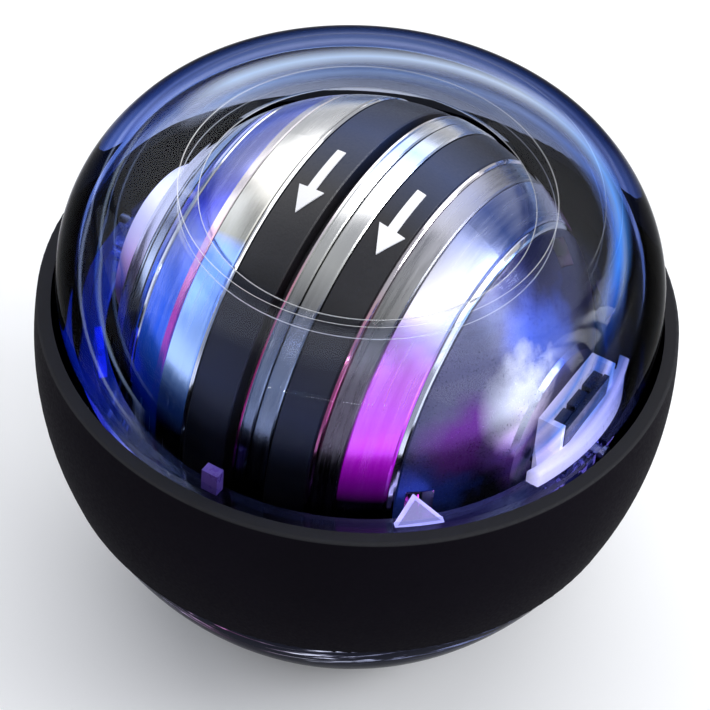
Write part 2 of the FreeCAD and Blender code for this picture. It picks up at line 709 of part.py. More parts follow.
def rotor_inside():
    ring_of("left_weight", "-weight_end", "-hub_web", "weight_bore", "hub_bore - shell_fit")
    ring_of("right_weight", "hub_web", "weight_end", "weight_bore", "hub_bore - shell_fit")
    left_board = "left_cap_edge + board_thickness"
    right_board = "right_cap_edge + board_thickness"
    ring_of("left_lamp_board", f"-({left_board})", "-left_cap_edge", "board_bore", "board_radius")
    ring_of("right_lamp_board", "right_cap_edge", right_board, "board_bore", "board_radius")
    lamps("left_lamps", left_board, "-")
    lamps("right_lamps", right_board, "")
    tube = "(axle_bore + former_wall)"
    ring_of("coil", "coil_start", "coil_end", f"{tube} + shell_fit", "coil_radius - former_wall")
    former = part("coil_former")
    corners = [
        ("hub_web", "axle_bore"),
        ("coil_end + shell_fit + former_wall", "axle_bore"),
        ("coil_end + shell_fit + former_wall", "coil_radius"),
        ("coil_end + shell_fit", "coil_radius"),
        ("coil_end + shell_fit", tube),
        ("coil_start - shell_fit", tube),
        ("coil_start - shell_fit", "coil_radius"),
        ("hub_web", "coil_radius"),
    ]
    revolve(former, corners, {}, "H_Axis")


def arrows(label, middle, first_angle):
    """White arrow inlays that lie on a tread and point the way that the starter is wound."""
    tip, tail = -size("arrow_length") / 2, size("arrow_length") / 2
    neck = tip + size("arrow_head_length")
    head, shaft = size("arrow_head_width") / 2, size("arrow_shaft_width") / 2
    shape = [(0, tip), (head, neck), (shaft, neck), (shaft, tail), (-shaft, tail), (-shaft, neck), (-head, neck)]
    points = [FreeCAD.Vector(size(middle) + x, y, 0) for x, y in shape]
    outer, inner = size("rotor_radius"), size("rotor_radius - tread_depth")
    prism = Part.Face(Part.makePolygon(points + points[:1])).extrude(Z_AXIS * (outer + inner))
    skin = Part.makeSphere(outer).cut(Part.makeSphere(inner))
    arrow = prism.common(skin)
    copies = []
    for number in range(int(size("arrow_count"))):
        copy = arrow.copy()
        angle = 90 - size(first_angle) + 360 / size("arrow_count") * number
        copy.rotate(FreeCAD.Vector(), X_AXIS, angle)
        copies.append(copy)
    made = part(label, "Part::Feature")
    made.Shape = Part.makeCompound(copies)
    made.Placement.Base.z = size("waist_height")


def axle():
    body = part("axle")
    half = [
        ("tip_end", "0"),
        ("tip_end", "tip_radius - tip_bevel"),
        ("tip_end - tip_bevel", "tip_radius"),
        ("lug_reach", "tip_radius"),
        ("lug_reach", "journal_radius"),
        ("axle_shoulder", "journal_radius"),
        ("axle_shoulder", "axle_radius"),
    ]
    corners = half + [(f"-({x})", y) for x, y in reversed(half)]
    revolve(body, corners, {}, "H_Axis")


def curved_block(face, half_length, sign):
    """Plan of a block with a flat inner face and an outer face along the lug's curve."""
    far = f"sqrt(lug_reach^2 - ({half_length})^2)"
    low, high = f"-({half_length})", half_length
    if sign == "-":
        return [(f"-{face}", high), (f"-{far}", high), (f"-{far}", low), (f"-{face}", low)], {1: ("lug_reach", 1)}
    return [(face, low), (far, low), (far, high), (face, high)], {1: ("lug_reach", 1)}


def gimbal_ring():
    body = part("gimbal_ring")
    rings = [("0", "0", "ring_outer"), ("0", "0", "ring_inner")]
    raise_pad(body, "XY_Plane", "-ring_half", "2 * ring_half", circles=rings)
    lug_span = "lug_reach - lug_face"
    blocks = [curved_block("lug_face", "lug_half_length", sign) for sign in ("", "-")]
    raise_pad(body, "XY_Plane", "-lug_half_height", "2 * lug_half_height", blocks)
    bores = [("0", "0", "bush_radius + shell_fit")]
    bores += [(f"{side}screw_offset", "0", "screw_hole") for side in ("", "-")]
    for start in ("lug_face", "-lug_reach"):
        cut_pocket(body, "YZ_Plane", start, lug_span, circles=bores)
    heads = [(f"{side}screw_offset", "0", "screw_head_radius + shell_fit") for side in ("", "-")]
    cut_pocket(body, "YZ_Plane", "screw_head_start", "lug_reach - screw_head_start", circles=heads)
    cut_pocket(body, "YZ_Plane", "-lug_reach", "lug_reach - screw_head_start", circles=heads)
    inner, outer = "(lug_reach - notch_half)", "(ring_outer + cut_overrun)"
    notches = [
        box_outline(inner, outer, "-notch_half", "notch_half"),
        box_outline(f"-{outer}", f"-{inner}", "-notch_half", "notch_half"),
    ]
    cut_pocket(body, "XY_Plane", "-lug_half_height", "2 * lug_half_height", notches)


def ring_fittings():
    gussets = part("ring_gussets")
    foot, peak = "ring_half", "(ring_half + gusset_height)"
    fin = [("-gusset_width / 2", foot), ("gusset_width / 2", foot), ("-gusset_width * gusset_lean_share", peak)]
    pad = raise_pad(gussets, "YZ_Plane", "gusset_radius", "gusset_thickness", [(fin, {})])
    repeat_about(gussets, pad, "Z_Axis", "gusset_count")
    turn_about(gussets, Z_AXIS, "gusset_angle")
    posts = part("ring_posts")
    block = box_outline("-post_width / 2", "post_width / 2", "-(post_radius + post_depth)", "-post_radius")
    pad = raise_pad(posts, "XY_Plane", "ring_half", "post_height", [block])
    repeat_about(posts, pad, "Z_Axis", "post_count")


def axle_bush(label, sign):
    body = part(label)
    bore = "journal_radius + running_fit"
    places = [
        ("lug_face - bush_flange_width", bore),
        ("lug_reach - shell_fit", bore),
        ("lug_reach - shell_fit", "bush_radius"),
        ("lug_face", "bush_radius"),
        ("lug_face", "bush_flange"),
        ("lug_face - bush_flange_width", "bush_flange"),
    ]
    revolve(body, [(f"{sign}({x})", y) for x, y in places], {}, "H_Axis")


def lug_screws(label, sign):
    """Two screws that go through a lug and into what it carries."""
    body = part(label)
    head_end = "(screw_head_start + screw_head_height)"
    spots = [f"{side}screw_offset" for side in ("", "-")]
    shaft_start = f"-{head_end}" if sign == "-" else "screw_end"
    head_start = f"-{head_end}" if sign == "-" else "screw_head_start"
    shafts = [(spot, "0", "screw_radius") for spot in spots]
    heads = [(spot, "0", "screw_head_radius") for spot in spots]
    raise_pad(body, "YZ_Plane", shaft_start, f"{head_end} - screw_end", circles=shafts)
    raise_pad(body, "YZ_Plane", head_start, "screw_head_height", circles=heads)


def starter_drum():
    """Round housing of the starter's spring, and its stepped cover towards the rotor."""
    body = part("starter_drum")
    corners = [
        ("-lug_face", "flange_hole"),
        ("drum_floor - drum_back", "flange_hole"),
        ("drum_floor - drum_back", "cavity_radius"),
        ("-cover_back", "cavity_radius"),
        ("-cover_back", "cover_radius"),
        ("-drum_lip", "cover_radius"),
        ("-drum_lip", "drum_radius"),
        ("-drum_back", "drum_radius"),
        ("-drum_back", "drum_boss"),
        ("-lug_face", "drum_boss"),
    ]
    revolve(body, corners, {}, "H_Axis")
    spots = [f"{side}screw_offset" for side in ("", "-")]
    bosses = [(spot, "0", "screw_radius + boss_wall") for spot in spots]
    holes = [(spot, "0", "screw_hole") for spot in spots]
    raise_pad(body, "YZ_Plane", "-lug_face", "lug_face - drum_back + drum_floor", circles=bosses)
    cut_pocket(body, "YZ_Plane", "-lug_face", "lug_face - drum_back + drum_floor", circles=holes)
    cover = part("starter_cover")
    bore, outside = "arbor_radius + cover_room", "cover_radius - shell_fit"
    corners = [
        ("-drum_front", bore),
        ("-drum_front", f"{outside} - cover_step"),
        ("-drum_front - cover_step", f"{outside} - cover_step"),
        ("-drum_front - cover_step", outside),
        ("-cover_back", outside),
        ("-cover_back", f"{outside} - cover_rim"),
        ("-cover_inside", f"{outside} - cover_rim"),
        ("-cover_inside", bore),
    ]
    revolve(cover, corners, {}, "H_Axis")


def mainspring():
    """Flat spiral of steel strip: half circles whose centres change sides at each half turn."""
    start, step = size("spring_inner"), size("spring_pitch / 2")
    half_strip = size("spring_strip / 2")
    count = 2 * int(size("spring_turns"))

    def point(y, z):
        return FreeCAD.Vector(0, y, z)

    def half_circle(turn, grow):
        side = 1 if turn % 2 == 0 else -1
        centre = -side * step / 2
        radius = start + (turn + 0.5) * step + grow
        ends = point(centre + side * radius, 0), point(centre - side * radius, 0)
        return Part.Arc(ends[0], point(centre, side * radius), ends[1]).toShape()

    edges = [half_circle(turn, grow) for grow in (half_strip, -half_strip) for turn in range(count)]
    last = start + count * step
    for reach in (start, last):
        edges.append(Part.makeLine(point(reach - half_strip, 0), point(reach + half_strip, 0)))
    strip = Part.Face(Part.Wire(Part.__sortEdges__(edges)))
    made = part("mainspring", "Part::Feature")
    made.Shape = strip.extrude(X_AXIS * size("spring_width"))
    made.Placement.Base = FreeCAD.Vector(-size("arbor_end"), 0, size("waist_height"))


def winding_arbor():
    """Tube that runs on the axle, with the ratchet wheel of the one-way clutch at its end."""
    body = part("winding_arbor")
    teeth = int(size("ratchet_teeth"))
    corners = []
    for tooth in range(teeth):
        angle = f"{tooth} * 360 deg / ratchet_teeth"
        for radius in ("ratchet_root", "ratchet_radius"):
            corners.append((f"{radius} * cos({angle})", f"{radius} * sin({angle})"))
    raise_pad(body, "YZ_Plane", "-pawl_end", "pawl_width", [(corners, {})])
    raise_pad(body, "YZ_Plane", "-arbor_end", "arbor_end - pawl_end", circles=[("0", "0", "arbor_radius")])
    bore = [("0", "0", "axle_radius + running_fit")]
    cut_pocket(body, "YZ_Plane", "-arbor_end", "arbor_end - pawl_end + pawl_width", circles=bore)


def clutch_pawls():
    """Two pawls on pins in the left cap's well, thrown clear of the ratchet wheel."""
    for number in range(int(size("pawl_count"))):
        body = part(f"clutch_pawl_{number + 1}")
        start = "-pawl_end"
        arm = [("0", "-pawl_hub"), ("pawl_length", "-pawl_tip"), ("pawl_length", "pawl_tip"), ("0", "pawl_hub")]
        raise_pad(body, "YZ_Plane", start, "pawl_width", [(arm, {})])
        raise_pad(body, "YZ_Plane", start, "pawl_width", circles=[("0", "0", "pawl_hub")])
        raise_pad(body, "YZ_Plane", start, "pawl_width", circles=[("pawl_length", "0", "pawl_tip")])
        cut_pocket(body, "YZ_Plane", start, "pawl_width", circles=[("0", "0", "pin_radius + running_fit")])
        place_angle = f"({number} * 360 / pawl_count)"
        turn_about(body, X_AXIS, f"pawl_angle + {place_angle}")
        body.setExpression("Placement.Base.y", bound(f"pawl_pivot * cos({place_angle} * 1 deg)"))
        body.setExpression("Placement.Base.z", bound(f"waist_height + pawl_pivot * sin({place_angle} * 1 deg)"))
    pins = part("pawl_pins")
    stem = [("pawl_pivot", "0", "pin_radius")]
    pad = raise_pad(pins, "YZ_Plane", "-pin_end", "pin_end - well_floor", circles=stem)
    repeat_about(pins, pad, "X_Axis", "pawl_count")
    head = [("pawl_pivot", "0", "pin_head_radius")]
    pad = raise_pad(pins, "YZ_Plane", "-(pin_end + pin_head)", "pin_head", circles=head)
    repeat_about(pins, pad, "X_Axis", "pawl_count")


def generator():
    """Bracket on the right lug: an upright wall with a cheek at each end, a floor that reaches out
    over the race's ledge and a rod along the shell, with the magnets and the yoke that it holds."""
    body = part("generator_bracket")
    far = "sqrt(rod_reach^2 - rod_half_length^2)"
    near = "sqrt((rod_reach - rod_width)^2 - rod_half_length^2)"
    plate = [
        ("bracket_front", "-wall_half_length"),
        (far, "-rod_half_length"),
        (far, "rod_half_length"),
        ("bracket_front", "wall_half_length"),
    ]
    rod = [
        (near, "-rod_half_length"),
        (far, "-rod_half_length"),
        (far, "rod_half_length"),
        (near, "rod_half_length"),
    ]
    rod_arcs = {1: ("rod_reach", 1), 3: ("rod_reach - rod_width", -1)}
    base = raise_pad(body, "XY_Plane", "lug_half_height", "rod_height", [(rod, rod_arcs)])
    faces = base.Shape.Faces
    top = max(range(len(faces)), key=lambda index: faces[index].CenterOfMass.z)
    rounding = body.newObject("PartDesign::Fillet", f"{body.Name}_rounding")
    rounding.Base = (base, [f"Face{top + 1}"])
    rounding.setExpression("Radius", bound("rod_round"))
    body.Tip = rounding
    doc.recompute()
    raise_pad(body, "XY_Plane", "lug_half_height", "bracket_floor", [(plate, {1: ("rod_reach", 1)})])
    wall = box_outline("bracket_front", "lug_face", "-wall_half_length", "wall_half_length")
    raise_pad(body, "XY_Plane", "-bracket_depth", "bracket_depth + bracket_top", [wall])
    cheeks = []
    for side in ("", "-"):
        across = (f"{side}wall_half_length", f"{side}cheek_inside")
        cheeks.append(box_outline("bracket_front", "bracket_front + cheek_reach", *across))
    raise_pad(body, "XY_Plane", "lug_half_height", "bracket_top - lug_half_height", cheeks)
    holes = [(f"{side}screw_offset", "0", "screw_hole") for side in ("", "-")]
    holes.append(("0", "0", "flange_hole"))
    cut_pocket(body, "YZ_Plane", "bracket_front", "bracket_wall", circles=holes)
    magnets = part("generator_magnets")
    blocks = []
    for place_count in (-1, 0, 1):
        middle = f"{place_count} * magnet_pitch"
        span = (f"{middle} - magnet_length / 2", f"{middle} + magnet_length / 2")
        blocks.append(box_outline("magnet_start", "magnet_end", *span))
    raise_pad(magnets, "XY_Plane", "magnet_floor", "magnet_height", blocks)
    yoke = part("magnet_yoke")
    strip = box_outline("yoke_back - yoke_thickness", "yoke_back", "-yoke_half_length", "yoke_half_length")
    raise_pad(yoke, "XY_Plane", "magnet_floor", "magnet_height", [strip])


upper_shell()
lower_shell()
grip_band()
gimbal_ring()
ring_fittings()
for side_name, side_sign in (("left", "-"), ("right", "")):
    axle_bush(f"{side_name}_axle_bush", side_sign)
    lug_screws(f"{side_name}_lug_screws", side_sign)
starter_drum()
mainspring()
winding_arbor()
generator()
axle()
rotor_hub()
rotor_bands()
plain_end = [("right_end_face", "axle_bore"), ("right_end_face - cap_wall", "axle_bore")]
well_outside = "well_radius + well_wall"
well_end = [
    ("left_end_face", "well_radius"),
    ("well_floor", "well_radius"),
    ("well_floor", "axle_bore"),
    ("well_floor - well_wall", "axle_bore"),
    ("well_floor - well_wall", well_outside),
    ("left_end_face - cap_wall", well_outside),
]
end_cap("left_end_cap", "left_cap_edge", "left_end_face", "-", well_end)
end_cap("right_end_cap", "right_cap_edge", "right_end_face", "", plain_end)
lamp_windows("left_lamp_windows", "-")
lamp_windows("right_lamp_windows", "")
rotor_inside()
arrows("left_arrows", "-(left_tread_edge + rib_left_edge) / 2", "left_arrow_angle")
arrows("right_arrows", "(right_tread_start + right_wire_edge) / 2", "right_arrow_angle")
clutch_pawls()

doc.recompute()
for thing in doc.Objects:
    if {"Invalid", "Error"} & set(thing.State):
        raise RuntimeError(f"{thing.Label} failed: {thing.State}")
os.makedirs("parts", exist_ok=True)
for made in parts:
    if made.Shape.isNull() or not made.Shape.isValid():
        raise RuntimeError(f"{made.Label} has no valid shape")
for made in parts:
    made.Shape.exportStep(f"parts/{made.Label}.step")
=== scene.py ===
import json
import math

import bmesh
import bpy
from mathutils import Matrix, Vector


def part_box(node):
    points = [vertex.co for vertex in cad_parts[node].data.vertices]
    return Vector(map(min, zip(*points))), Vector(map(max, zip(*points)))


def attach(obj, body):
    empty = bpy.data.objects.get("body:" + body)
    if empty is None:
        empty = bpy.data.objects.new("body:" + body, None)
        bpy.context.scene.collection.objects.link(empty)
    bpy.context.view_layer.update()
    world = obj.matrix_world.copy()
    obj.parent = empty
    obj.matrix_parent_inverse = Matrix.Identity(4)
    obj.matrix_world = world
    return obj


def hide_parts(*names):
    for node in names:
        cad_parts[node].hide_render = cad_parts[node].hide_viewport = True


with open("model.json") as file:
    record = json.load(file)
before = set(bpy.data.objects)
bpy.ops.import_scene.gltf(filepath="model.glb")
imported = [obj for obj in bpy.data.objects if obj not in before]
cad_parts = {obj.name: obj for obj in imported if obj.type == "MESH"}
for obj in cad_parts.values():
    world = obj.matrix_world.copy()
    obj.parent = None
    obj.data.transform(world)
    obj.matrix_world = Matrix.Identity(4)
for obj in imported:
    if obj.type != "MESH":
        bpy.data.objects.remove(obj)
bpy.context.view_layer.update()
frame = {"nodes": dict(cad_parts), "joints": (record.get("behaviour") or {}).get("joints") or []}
NODES = frame["nodes"]
JOINTS = {joint["name"]: joint for joint in frame["joints"]}
WAIST = JOINTS["rotor_spin"]["pos_m"][2]     # height of the axle and the seam
BAND_LOW = WAIST - 0.0157                    # just under the lower edge of the grip band

# The dome's profile: radii, and heights above the waist
DOME_WALL, DOME_RADIUS, DOME_FLANK = 0.0024, 0.0327, 0.017
CROWN_RADIUS, CROWN_CURVE = 0.0236, 0.0069
RIM_RADIUS, RIM_DROP = 0.0199, 0.0007
OPENING_RADIUS, LIP_DROP, LIP_EDGE, LIP_THICKNESS = 0.0177, 0.00115, 0.001, 0.0007
SHOULDER, LAP_DEPTH, SKIRT_RADIUS, SEAT_TOP, SEAT_LOW = 0.0047, 0.002, 0.03255, 0.03318, 0.0334
RACE_RADIUS, RACE_HALF, LEDGE_RADIUS, LEDGE_TOP = 0.0318, 0.001, 0.0292, 0.0022
CROWN_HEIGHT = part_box("upper_shell")[1].z - WAIST
RIM_HEIGHT = CROWN_HEIGHT - RIM_DROP
LIP_HEIGHT = RIM_HEIGHT - LIP_DROP
# The lip's curve runs level into the crown's top, and the crown's curve smoothly into the flank's
RIM_CURVE = ((CROWN_RADIUS - RIM_RADIUS) ** 2 + RIM_DROP ** 2) / (2 * RIM_DROP)
CROWN_SIDE = CROWN_RADIUS - (DOME_RADIUS - DOME_FLANK)
CROWN_RISE = math.sqrt((DOME_FLANK - CROWN_CURVE) ** 2 - CROWN_SIDE ** 2)
DOME_HEIGHT = CROWN_HEIGHT - CROWN_CURVE - CROWN_RISE

# Camera
AZIMUTH, ELEVATION, ROLL = math.radians(28.3), math.radians(45.65), math.radians(5.03)
DISTANCE, SHIFT_X, SHIFT_Y = 0.350, -0.00008, 0.00238
FOCAL_PX, FRAME_PX, SENSOR = 3207.5, 710.0, 36.0


def add_camera():
    a, e = AZIMUTH, ELEVATION
    back = Vector((math.sin(a) * math.cos(e), -math.cos(a) * math.cos(e), math.sin(e)))
    right = Vector((math.cos(a), math.sin(a), 0))
    up = back.cross(right)
    centre = Vector((0, 0, WAIST)) - right * SHIFT_X - up * SHIFT_Y + back * DISTANCE
    cam_right = right * math.cos(ROLL) + up * math.sin(ROLL)
    cam_up = up * math.cos(ROLL) - right * math.sin(ROLL)
    data = bpy.data.cameras.new("Camera")
    data.sensor_width = SENSOR
    data.lens = FOCAL_PX / FRAME_PX * SENSOR
    data.clip_start, data.clip_end = 0.01, 20
    camera = bpy.data.objects.new("Camera", data)
    camera.matrix_world = Matrix((
        (cam_right.x, cam_up.x, back.x, centre.x),
        (cam_right.y, cam_up.y, back.y, centre.y),
        (cam_right.z, cam_up.z, back.z, centre.z),
        (0, 0, 0, 1)))
    bpy.context.scene.collection.objects.link(camera)
    bpy.context.scene.camera = camera


add_camera()


# Materials
class Mat:
    """A Principled material and short calls for its nodes."""

    def __init__(self, name, **sockets):
        self.mat = bpy.data.materials.new(name)
        self.mat.use_nodes = True
        self.tree = self.mat.node_tree
        self.bsdf = self.tree.nodes["Principled BSDF"]
        self.out = self.tree.nodes["Material Output"]
        for key, value in sockets.items():
            self.set(key.replace("_", " "), value)

    def set(self, socket, value):
        if isinstance(value, tuple) and len(value) == 3:
            value = (*value, 1.0)
        self.bsdf.inputs[socket].default_value = value

    def node(self, kind, **props):
        made = self.tree.nodes.new(kind)
        for key, value in props.items():
            setattr(made, key, value)
        return made

    def link(self, a, b):
        self.tree.links.new(a, b)

    def put(self, value, socket):
        if isinstance(value, (int, float, tuple)):
            socket.default_value = value
        else:
            self.link(value, socket)

    def math(self, op, a, b=0.0):
        made = self.node("ShaderNodeMath", operation=op)
        for value, socket in zip((a, b), made.inputs):
            self.put(value, socket)
        return made.outputs[0]

    def times(self, *values):
        product = values[0]
        for value in values[1:]:
            product = self.math("MULTIPLY", product, value)
        return product

    def length(self, a, b):
        """The distance of (a, b) from zero."""
        return self.math("SQRT", self.math("ADD", self.times(a, a), self.times(b, b)))

    def coords(self):
        return self.node("ShaderNodeTexCoord").outputs["Object"]

    def xyz(self, vector):
        made = self.node("ShaderNodeSeparateXYZ")
        self.link(vector, made.inputs[0])
        return made.outputs

    def vec(self, x, y, z):
        made = self.node("ShaderNodeCombineXYZ")
        for value, socket in zip((x, y, z), made.inputs):
            self.put(value, socket)
        return made.outputs[0]

    def noise(self, vector, scale, detail=3.0, rough=0.5, distortion=0.0):
        made = self.node("ShaderNodeTexNoise")
        self.link(vector, made.inputs["Vector"])
        made.inputs["Scale"].default_value = scale
        made.inputs["Detail"].default_value = detail
        made.inputs["Roughness"].default_value = rough
        made.inputs["Distortion"].default_value = distortion
        return made.outputs["Fac"]

    def ramp(self, factor, stops):
        made = self.node("ShaderNodeValToRGB")
        elements = made.color_ramp.elements
        while len(elements) < len(stops):
            elements.new(0.5)
        for element, (place, colour) in zip(elements, stops):
            element.position = place
            element.color = (*colour, 1.0)
        self.link(factor, made.inputs["Fac"])
        return made.outputs["Color"]

    def remap(self, value, low, high, to_low, to_high):
        made = self.node("ShaderNodeMapRange")
        self.put(value, made.inputs["Value"])
        made.inputs["From Min"].default_value = low
        made.inputs["From Max"].default_value = high
        made.inputs["To Min"].default_value = to_low
        made.inputs["To Max"].default_value = to_high
        return made.outputs[0]

    def mix(self, factor, a, b, blend="MIX"):
        made = self.node("ShaderNodeMix", data_type="RGBA", blend_type=blend)
        self.put(factor, made.inputs["Factor"])
        for value, socket in zip((a, b), made.inputs[6:8]):
            if isinstance(value, tuple) and len(value) == 3:
                value = (*value, 1.0)
            self.put(value, socket)
        return made.outputs[2]

    def bump(self, height, distance, strength):
        made = self.node("ShaderNodeBump")
        self.put(height, made.inputs["Height"])
        made.inputs["Distance"].default_value = distance
        made.inputs["Strength"].default_value = strength
        self.link(made.outputs[0], self.bsdf.inputs["Normal"])

    def around_axle(self):
        """Object coordinates as place along the axle, turn round it (0 at the top, positive
        towards the front, in radians) and distance from it."""
        x, y, z = self.xyz(self.coords())[:3]
        high = self.math("SUBTRACT", z, WAIST)
        return x, self.math("ARCTAN2", self.times(y, -1.0), high), self.length(y, high)

    def sweep(self, turn, stops, mirror_at=-8.0):
        """Colours that change round the axle: stops are degrees from the top and a colour, and the
        far side mirrors the near one."""
        degrees = self.times(turn, 180 / math.pi)
        degrees = self.math("ABSOLUTE", self.math("SUBTRACT", degrees, mirror_at))
        places = [((place - mirror_at) / 180, colour) for place, colour in stops]
        return self.ramp(self.math("DIVIDE", degrees, 180.0), places)

    def band(self, value, low, high, soft):
        """1 between low and high, falling to 0 over soft on each side."""
        up = self.remap(value, low - soft, low + soft, 0.0, 1.0)
        down = self.remap(value, high - soft, high + soft, 1.0, 0.0)
        return self.times(up, down)

    def absorb(self, absorbed):
        """Fill the piece: absorbed is what a metre of it takes out of red, green and blue."""
        density = max(absorbed)
        volume = self.node("ShaderNodeVolumeAbsorption")
        volume.inputs["Color"].default_value = (*(1 - part / density for part in absorbed), 1.0)
        volume.inputs["Density"].default_value = density
        self.link(volume.outputs[0], self.out.inputs["Volume"])


def srgb(*colour):
    """A colour as a screen shows it, 0 to 255, in linear light."""
    return tuple(((c / 255 + 0.055) / 1.055) ** 2.4 if c > 10 else c / 255 / 12.92 for c in colour)


def clear_plastic(name, colour, absorbed, roughness, lit=None):
    """Moulded clear plastic: faint flow waves, and a tint that deepens with thickness. lit is the
    painted glow of the lamps across it, from left to right, strongest at the front."""
    m = Mat(name, Roughness=roughness, IOR=1.49, Transmission_Weight=1.0)
    m.set("Base Color", colour)
    # Painted lamp glow, given off by the plastic, stronger to the front
    if lit is not None:
        x, y = m.xyz(m.coords())[:2]
        m.link(m.ramp(m.remap(x, -0.03, 0.03, 0.0, 1.0), lit), m.bsdf.inputs["Emission Color"])
        m.link(m.remap(y, -0.016, 0.002, 0.4, 0.04), m.bsdf.inputs["Emission Strength"])
    m.bump(m.noise(m.coords(), 60.0, 2.0, 0.45), 0.000004, 0.3)
    m.absorb(absorbed)
    return m.mat


def dome_plastic(name):
    """The dome's clear plastic. It bends light far less than real plastic, so that the floor's
    reflection doesn't veil what is inside. Its tint deepens where the wall is seen edge on, partly
    as thick plastic's does and partly as painted shade, and its rear is darker with painted shade.
    Its bright lines, and the pale arcs in its tint, are painted highlights."""
    m = Mat(name, Roughness=0.0, IOR=1.02, Transmission_Weight=1.0, Coat_Roughness=0.0)
    m.set("Specular Tint", (0.35, 0.45, 0.8))
    x, y, z = m.xyz(m.coords())[:3]
    out = m.length(x, y)
    facing = m.node("ShaderNodeLayerWeight").outputs["Facing"]
    high_up = m.remap(z, *FLANK_TO_CROWN, 0.0, 1.0)
    edge_tint = m.mix(high_up, m.ramp(facing, LOW_RIM), m.ramp(facing, RIM))
    tint = m.mix(m.remap(out, *CROWN_TO_WALL, 0.0, 1.0), (1.0, 1.0, 1.0), edge_tint)
    # Painted shade: the rear of the dome is darker
    rear_shaded = m.mix(1.0, tint, REAR_PAINTED_SHADE, "MULTIPLY")
    tint = m.mix(m.remap(y, *FRONT_TO_REAR, 0.0, 1.0), tint, rear_shaded)

    # Two painted highlight lines in the wall at the front left
    front_left = m.times(m.remap(x, *LINES_IN_X, 1.0, 0.0), m.remap(y, *LINES_IN_Y, 1.0, 0.0))
    bright = 0.0
    for start, end, soft, strength in FINE_LINES:
        bright = m.math("ADD", bright, m.times(m.band(facing, start, end, soft), strength))
    bright = m.times(bright, front_left)
    tint = m.mix(m.times(bright, 2.0), tint, LINE_BLUE)

    # The painted highlight crescent at the rear
    away = m.length(m.math("SUBTRACT", x, CRESCENT_X), m.math("SUBTRACT", y, CRESCENT_Y))
    crescent = m.band(away, CRESCENT_RADIUS, CRESCENT_RADIUS + CRESCENT_WIDTH, CRESCENT_WIDTH / 2)
    crescent = m.times(crescent, m.remap(y, *CRESCENT_IN_Y, 0.0, 1.0))
    tint = m.mix(crescent, tint, m.ramp(m.remap(x, *CRESCENT_IN_X, 0.0, 1.0), CRESCENT_BLUE))
    bright = m.math("ADD", bright, m.times(crescent, CRESCENT_STRENGTH))

    # Painted highlight rings on the lip's and the crown's polished edges
    rear = m.remap(y, *RINGS_IN_Y, 0.0, 1.0)
    for radius, width, strength, rear_only in PAINTED_HIGHLIGHT_RINGS:
        line = m.times(m.band(out, radius, radius + width, 0.00003 + width / 4), strength)
        bright = m.math("ADD", bright, m.times(line, rear) if rear_only else line)
    m.link(m.math("SUBTRACT", 1.0, bright), m.bsdf.inputs["Transmission Weight"])
    m.link(tint, m.bsdf.inputs["Base Color"])

    # Gloss on the crown, less where it is seen edge on
    gloss = m.remap(z, *GLOSSY_CROWN, 0.0, CROWN_GLOSS)
    m.link(m.times(gloss, m.remap(facing, 0.35, 0.6, 1.0, 0.0)), m.bsdf.inputs["Coat Weight"])
    m.absorb(DOME_ABSORBS)
    return m.mat


def dark_base(name):
    """Plastic that is clear down to the band's lower edge, and under it dark, with painted highlight
    streaks that glow where its curve would bend the light."""
    m = Mat(name, Roughness=0.1, IOR=1.015)
    m.set("Base Color", (0.010, 0.011, 0.020))
    m.set("Specular Tint", (0.10, 0.12, 0.22))
    x, y, z = m.xyz(m.coords())[:3]
    turn = m.math("ARCTAN2", x, m.times(y, -1.0))
    slant = m.times(m.math("SINE", m.times(turn, 5.0)), 0.0012)
    flow = m.noise(m.vec(m.times(turn, 0.0035), 0.0, m.math("ADD", z, slant)), 900.0, 4.0, 0.6, 1.2)
    hue = m.ramp(m.remap(turn, -1.2, 1.2, 0.0, 1.0), STREAK_HUES)
    # Painted highlight streaks, given off as light below the band
    m.link(m.mix(1.0, m.ramp(flow, STREAKS), hue, "MULTIPLY"), m.bsdf.inputs["Emission Color"])
    below = m.remap(z, BAND_LOW - 0.0001, BAND_LOW + 0.0001, 1.6, 0.0)
    fading = m.remap(z, BAND_LOW - 0.0058, BAND_LOW - 0.0023, 0.04, 1.0)
    m.link(m.times(below, fading), m.bsdf.inputs["Emission Strength"])
    clear = m.remap(z, BAND_LOW - 0.0001, BAND_LOW + 0.0007, 0.0, 0.9)
    m.link(clear, m.bsdf.inputs["Transmission Weight"])
    return m.mat


def rubber(name, colour, light, grain=2600.0, depth=0.00003, roughness=0.62, specular=0.2,
           stops=None, painted_highlight_above=None):
    """Black rubber with a fine grain, painted reflections round the axle where stops are given, and
    a painted highlight that makes it paler above a height."""
    m = Mat(name, Roughness=roughness)
    m.set("Specular IOR Level", specular)
    place = m.coords()
    tint = m.mix(m.noise(place, 90.0, 4.0), colour, light)
    # Painted reflections round the axle
    if stops is not None:
        tint = m.mix(0.8, tint, m.sweep(m.around_axle()[1], stops))
    # Painted highlight: paler above a height, on the top
    if painted_highlight_above is not None:
        top_highlight = m.remap(m.xyz(place)[2], painted_highlight_above, painted_highlight_above + 0.0002, 0.0, 1.0)
        tint = m.mix(top_highlight, tint, TOP_PAINTED_HIGHLIGHT)
    m.link(tint, m.bsdf.inputs["Base Color"])
    fine = m.noise(place, grain, 3.0, 0.6)
    m.link(m.remap(fine, 0.3, 0.7, roughness - 0.08, roughness + 0.1), m.bsdf.inputs["Roughness"])
    m.bump(fine, depth, 0.5)
    return m.mat


